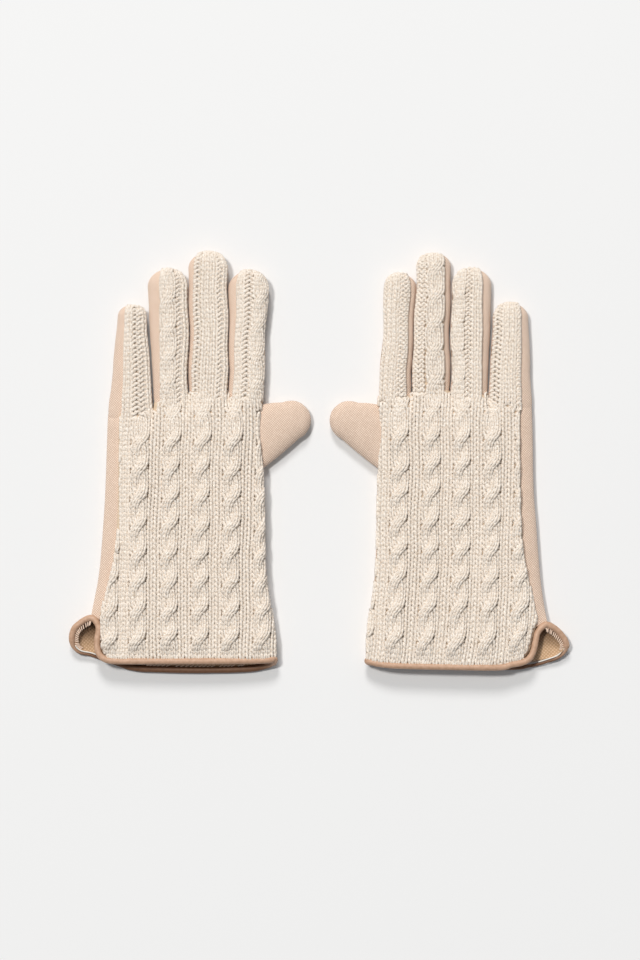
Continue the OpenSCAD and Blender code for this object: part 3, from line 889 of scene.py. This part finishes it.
def palmJersey(side):
    g = gloves[side]
    bm = bmesh.new()

    def shape(u, v):
        # u runs from the flap's edge or the outer seam, under the hand, to the thumb-side seam
        x = mix(-60, 45, u)
        y = mix(along(g["hem"], x) + 0.6, g["roots"][fingerUnder(side, x)] + 2, v)
        k = smooth(g["vent"] - 4, g["vent"] + 4, y)
        low = mix(along(g["flapEdge"], y), along(g["outerEdge"], y), k)
        high = along(g["innerEdge"], y)
        x = mix(low, high, u)
        near = x - low
        far = high - x
        z = 0.35
        rise = mix(along(g["rim"], y) - 1, 4.0, k)
        z += rise * (1 - smooth(0, mix(6, 2.6, k), near)) ** 2
        z += 3.8 * (1 - smooth(0, 2.4, far)) ** 2
        return placed(side, x, y, z + abs(wobble(x, y, 2, 14, 0.3)))

    patch(bm, 70, 90, inside(side, 0), shape)
    return fromBmesh(side + "_palmJersey", bm, jersey, sewing["jersey"] * mm)


def outerJersey(side):
    g = gloves[side]
    root = g["roots"]["little"]
    bm = bmesh.new()

    def shape(u, v):
        y = mix(g["vent"] - 0.5, root + 4, v)
        low, high, knit = handAt(side, y)
        half = (high - low) / 2
        middle = (low + high) / 2
        limit = math.acos(clamp((middle - knit - 1.6) / half, -1, 1))
        angle = mix(limit, 0, clamp(u / 0.75)) if u < 0.75 else 0
        under = smooth(root - 3, root + 4, y)
        flare = 1 - smooth(g["vent"], g["vent"] + 15, y)
        x = middle - half * math.cos(angle) + under
        if u < 0.75:
            z = top(side, x, y) - 0.1
            z = mix(z, max(z, 8.6), flare)
        else:
            down = (u - 0.75) / 0.25
            z = mix(mix(body["middle"], 8.6, flare), mix(2.6, 6.4, flare), down)
            x += 0.6 * smooth(0.75, 1, u)
        z -= 0.4 * (1 - smooth(0, 0.08, u)) + under
        return placed(side, x, y, z + wobble(x, y, 6, 12, 0.25))

    patch(bm, 30, 90, inside(side, -30), shape)
    return fromBmesh(side + "_outerJersey", bm, jersey, sewing["jersey"] * mm)


def innerJersey(side):
    g = gloves[side]
    bm = bmesh.new()

    def shape(u, v):
        y = mix(9, g["roots"]["index"] + 1, v)
        high = along(g["innerEdge"], y)
        x = high - 0.4 - 2.6 * u ** 3 - 0.8 * (1 - u) ** 3
        return placed(side, x, y, mix(3.4, 8.2, u))

    patch(bm, 10, 90, inside(side, 20), shape)
    return fromBmesh(side + "_innerJersey", bm, jersey, sewing["jersey"] * mm)


def handLining(side):
    # lining on the palm, which shows inside the flap, and lining under the knit
    g = gloves[side]
    bm = bmesh.new()

    def floorShape(u, v):
        x = mix(-60, 45, u)
        y = mix(along(g["hem"], x) + 1.6, 140, v ** 1.3)
        k = smooth(g["vent"] - 3, g["vent"] + 5, y)
        low = mix(along(g["flapEdge"], y), along(g["outerEdge"], y), k) + 1.2
        high = along(g["innerEdge"], y) - 1.4
        x = mix(low, high, u)
        near = x - low
        rise = mix(along(g["rim"], y) - 1.6, 4.0, k)
        z = 1.7 + rise * (1 - smooth(0, mix(6, 3, k), near)) ** 2 + wobble(x, y, 12, 9, 0.6)
        return placed(side, x, y, z)

    def roofShape(u, v):
        x = mix(along(g["knitEdge"], 60), along(g["innerEdge"], 60), u)
        y = mix(along(g["backHem"], x) - 1, 140, v)
        low, high, knit = handAt(side, y)
        x = mix(knit + 1.2, high - 3, u)
        return placed(side, x, y, top(side, x, y) - 0.9 + wobble(x, y, 15, 9, 0.3))

    patch(bm, 70, 70, inside(side, 0, 6), floorShape)
    patch(bm, 40, 60, inside(side, 0, 6), roofShape)
    return fromBmesh(side + "_handLining", bm, liningCloth, sewing["lining"] * mm)


# thumb

# root: its stretch of the hand's edge; centre: where its round tip starts; turn: degrees from +x
thumb = {"root": (114.5, 152.6), "centre": {"left": (60, 144.6), "right": (57.4, 144.4)}, "half": 11.3,
         "turn": 26, "rise": 5.2, "fall": 4.2, "low": 0.3, "roundTop": 2.3, "roundUnder": 3.4, "bow": 1.6}


def thumbPoint(side, s, angle, inset):
    # s runs along the thumb from its root to the start of its round tip at 1, then round the tip to 2
    g = gloves[side]
    turn = math.radians(thumb["turn"])
    ahead = Vector((math.cos(turn), math.sin(turn)))
    across = Vector((-ahead.y, ahead.x))
    centre = Vector(thumb["centre"][side])
    t = min(s, 1)
    up = math.sin(max(0, s - 1) * math.pi / 2)
    width = math.sqrt(max(0, 1 - up * up))
    c = math.cos(angle) * width
    half = thumb["half"] - inset
    rootY = mix(thumb["root"][0] + inset, thumb["root"][1] - inset, (c + 1) / 2)
    root = Vector((along(g["innerEdge"], rootY) - 3.5, rootY))
    end = centre + across * (half * c) + ahead * (half * up)
    bow = across * (thumb["bow"] * math.sin(math.pi * t) * c)
    flat = root.lerp(end, t) + bow * (0.4 if s < 1 else 0)
    q = math.hypot(c, up)
    if math.sin(angle) >= 0:
        rise = thumb["rise"] * mix(0.86, 1, smooth(0, 0.6, t))
        z = thumb["fall"] + thumb["low"] + crown(q, rise, thumb["roundTop"])
    else:
        z = thumb["fall"] + thumb["low"] - crown(q, thumb["fall"], thumb["roundUnder"])
    return flat.x, flat.y, z - inset * math.sin(angle)


def thumbPatch(bm, side, first, last, columns, inset):
    def shape(u, v):
        s = 2 * v
        angle = math.radians(mix(first, last, u))
        edge = min(u, 1 - u) * abs(last - first) / 9
        dip = sewing["seamDepth"] * 0.6 * (1 - smooth(0, 1, edge))
        x, y, z = thumbPoint(side, s, angle, inset + dip - wobble(u * 30, s * 30, 5, 8, 0.2))
        return placed(side, x, y, z)

    patch(bm, columns, 48, inside(side, 56, 4.5), shape)


def thumbJersey(side):
    bm = bmesh.new()
    thumbPatch(bm, side, -8, 188, 36, 0)
    upper = fromBmesh(side + "_thumbTop", bm, jersey, sewing["jersey"] * mm)
    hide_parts(side + "_thumb_top")
    bm = bmesh.new()
    thumbPatch(bm, side, 188, 352, 26, 0)
    under = fromBmesh(side + "_thumbUnder", bm, jersey, sewing["jersey"] * mm)
    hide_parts(side + "_thumb_under")
    bm = bmesh.new()
    thumbPatch(bm, side, 0, 360, 36, 1.3)
    sock = fromBmesh(side + "_thumbSock", bm, liningCloth, sewing["lining"] * mm)
    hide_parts(side + "_thumb_lining")
    return upper, under, sock


# cuff

# the binding's closed line, from the thumb's end of the back's hem, round the vent and the flap and
# back along the palm's hem; slim: its stretch round the flap's rim; stitched: where its stitches start
cuff = {
    "perPoint": 12,
    "left": [
        (50, 7.9, 8.6), (44, 7.2, 10.4), (16, 6.9, 12), (-21, 6.9, 12), (-40, 6.9, 11),
        (-46.4, 8, 10.8), (-50, 11.5, 10.4), (-50.9, 18, 10), (-50, 25.5, 9.8), (-52, 30, 9.4),
        (-55.2, 31.4, 9), (-60, 29, 8.2), (-64.2, 25, 7.4), (-65.6, 19.5, 6.4), (-64.6, 14.4, 5),
        (-61.5, 11.4, 3.8), (-55.5, 10, 3), (-50, 8, 2.5), (-44, 5.7, 2.1), (-38, 4, 1.9),
        (-32, 2.9, 1.85), (-22, 1.9, 1.85), (8, 1.3, 1.85), (34, 1.9, 1.85), (43.5, 3.4, 2.1),
        (49.2, 5.6, 4.4)
    ],
    "right": [
        (46.5, 6.8, 8.6), (41, 5.4, 10.4), (28, 4.2, 11.6), (-12, 3.4, 12), (-29, 3.4, 11.8),
        (-35, 4.9, 11.4), (-41.4, 6.1, 11), (-45.3, 8.3, 10.8), (-47.6, 12.2, 10.4), (-49, 17.9, 10),
        (-50.4, 23.4, 9.6), (-54.7, 27.5, 9), (-58.8, 26.2, 8.4), (-62.8, 22.9, 7.4),
        (-66.2, 18.4, 6.6), (-67, 14.5, 5.6), (-65.6, 11.1, 4.4), (-62.3, 8.3, 3.4), (-57.2, 6.4, 2.8),
        (-51.6, 4.7, 2.3), (-45.9, 3.5, 2), (-40, 3, 1.85), (-24, 3.2, 1.85), (4, 3.5, 1.85),
        (30, 3.9, 1.85), (40.5, 4.9, 2.1), (45.6, 6, 4.4)
    ],
    "radius": 1.85,
    "slimmer": 0.52,
    "hemFatter": 0.12,
    "stitch": 1.5,
    "stitchThread": 0.36,
    "seamThread": 0.42,
    "slim": {"left": (14, 19), "right": (15.5, 20.5)},
    "stitched": {"left": 10, "right": 11},
}


def loopPoints(points, per):
    # a smooth closed line through the points
    line = []
    n = len(points)
    for i in range(n):
        a, b, c, d = (Vector(points[(i + k - 1) % n]) for k in range(4))
        for j in range(per):
            t = j / per
            line.append(0.5 * (2 * b + (c - a) * t + (2 * a - 5 * b + 4 * c - d) * t * t
                               + (3 * b - a - 3 * c + d) * t**3))
    return line


def cuffBinding(side):
    per = cuff["perPoint"]
    line = loopPoints(cuff[side], per)
    line.append(line[0])
    first, last = cuff["slim"][side]
    run = []
    for i, p in enumerate(line):
        at = i / per
        slim = smooth(first - 1, first + 0.5, at) * (1 - smooth(last - 0.5, last + 1, at))
        hemFat = cuff["hemFatter"] * smooth(last, last + 2, at)
        fat = 1 + wobble(i * 0.5, 0, 21, 3, 0.07) - cuff["slimmer"] * slim + hemFat
        run.append((placed(side, *p), fat))
    return tubes(side + "_binding", [run], cuff["radius"] * mm, leather, 4)


def threadRuns(side, first, last, inward, above, length, slant, pitch):
    # short stitches beside the binding between two of its points
    per = cuff["perPoint"]
    line = loopPoints(cuff[side], per)[first * per:last * per + 1]
    runs = []
    whole = sum((b - a).length for a, b in zip(line, line[1:]))
    walked = 0.0
    due = 0.0
    for a, b in zip(line, line[1:]):
        walked += (b - a).length
        if walked < due:
            continue
        due += pitch
        ahead = (b - a).normalized()
        across = Vector((-ahead.y, ahead.x, 0)).normalized()
        at = a + across * mix(inward[0], inward[1], walked / whole) + Vector((0, 0, above))
        way = (ahead * slant + across).normalized() * length / 2
        start, end = at - way, at + way
        mid = at + Vector((0, 0, 0.35))
        runs.append([(placed(side, *q), 1) for q in (start, mid, end)])
    return runs


for side in ("left", "right"):
    hand = side + "_hand"
    base = handBacking(side)
    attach(base, hand)
    for name in fingerNames:
        bendFinger(side, name, (fingerBacking(side, name), *fingerJersey(side, name)))
    palm = palmJersey(side)
    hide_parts(side + "_palm")
    outer = outerJersey(side)
    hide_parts(side + "_outer_side")
    inner = innerJersey(side)
    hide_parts(side + "_inner_side")
    lining = handLining(side)
    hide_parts(side + "_hand_lining")
    binding = cuffBinding(side)
    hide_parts(side + "_cuff_binding")
    start = cuff["stitched"][side]
    stitches = threadRuns(side, start, start + 5, (2.6, 2.0), 0.1, 3.2, 0.5, cuff["stitch"])
    stitches += threadRuns(side, start + 11, start + 13, (2.4, 2.4), 1.7, 2.2, 2.5, 2.8)
    rim = tubes(side + "_rimStitches", stitches, cuff["stitchThread"] * mm, thread)
    per = cuff["perPoint"]
    fold = loopPoints(cuff[side], per)[(start + 4) * per:(start + 8) * per]
    line = [(placed(side, p.x + 0.9, p.y + 1.1, p.z + 0.7), 1) for p in fold]
    seam = tubes(side + "_rimSeam", [line], cuff["seamThread"] * mm, paleThread)
    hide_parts(side + "_hem_thread")
    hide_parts(side + "_hem_thread")
    for piece in (palm, outer, inner, lining, binding, rim, seam):
        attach(piece, hand)
    rootMiddle = sum(thumb["root"]) / 2
    for piece in thumbJersey(side):
        edge = along(gloves[side]["innerEdge"], rootMiddle)
        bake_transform(piece)
print("jersey, lining, thumb and cuff made")


# the floor, light and camera

floorBm = bmesh.new()
bmesh.ops.create_grid(floorBm, x_segments=1, y_segments=1, size=3)
floorMesh = bpy.data.meshes.new("floor")
floorBm.to_mesh(floorMesh)
floorBm.free()
floor = finished("floor", floorMesh, plainMaterial("floorPaint", (0.835, 0.84, 0.845), 0.9))

view = {"across": 0.552, "distance": 1.7, "x": 1.15, "y": -10.8}


def lamp(name, at, aim, size, power, colour):
    light = bpy.data.lights.new(name, "AREA")
    light.shape = "DISK"
    light.size = size
    light.energy = power
    light.color = colour
    lampObject = bpy.data.objects.new(name, light)
    bpy.context.scene.collection.objects.link(lampObject)
    lampObject.location = at
    lampObject.rotation_euler = (Vector(aim) - Vector(at)).to_track_quat("-Z", "Y").to_euler()


lamp("keyLight", (-3.5, 3.2, 10.2), (0, 0, 0), 1.5, 690, (1, 0.975, 0.94))
lamp("topLight", (-0.9, 7.8, 7.2), (0, 0, 0), 3, 550, (1, 0.98, 0.96))
world = bpy.data.worlds.new("studio")
bpy.context.scene.world = world
world.use_nodes = True
world.node_tree.nodes["Background"].inputs["Color"].default_value = (0.92, 0.96, 1, 1)
world.node_tree.nodes["Background"].inputs["Strength"].default_value = 0.26

camera = bpy.data.cameras.new("camera")
cameraObject = bpy.data.objects.new("camera", camera)
bpy.context.scene.collection.objects.link(cameraObject)
cameraObject.location = (view["x"] * mm, view["y"] * mm, view["distance"])
camera.sensor_width = 36
camera.lens = 36 * view["distance"] / view["across"]
bpy.context.scene.camera = cameraObject
bpy.context.scene.view_settings.view_transform = "Standard"

print("scene ready")
